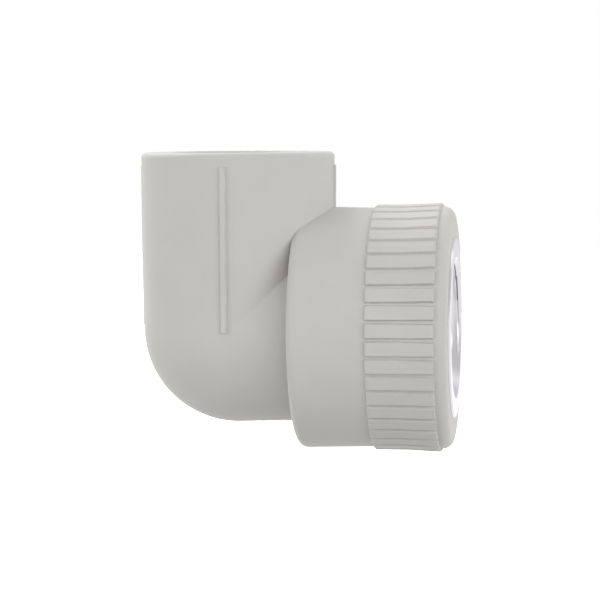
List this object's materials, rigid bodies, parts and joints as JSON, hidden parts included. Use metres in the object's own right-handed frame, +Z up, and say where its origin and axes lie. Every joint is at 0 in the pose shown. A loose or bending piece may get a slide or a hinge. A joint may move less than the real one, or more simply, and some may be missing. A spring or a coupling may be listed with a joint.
{
  "type": "ppr elbow",
  "caption": "Moulded plastic pipe elbow with a weld socket, a ribbed grip ring and a metal insert with an internal pipe thread.",
  "frame": {"origin": "centre of the pipe stop at the bottom of the weld socket", "axes": "+Z up the socket's axis and out of its mouth; +X along the threaded end, out of its mouth; the threaded end's axis lies 12.3 mm below the origin; the body is symmetric about the XZ plane apart from a 1 degree turn of the grip lands"},
  "size_m": [0.0485, 0.0378, 0.0457],
  "materials": {
    "plastic": "smooth moulded, light warm grey",
    "insert_metal": "nickel plated over turned brass"
  },
  "bodies": {
    "root": {"elbow_body": "plastic", "thread_insert": "insert_metal"}
  },
  "joints": []
}
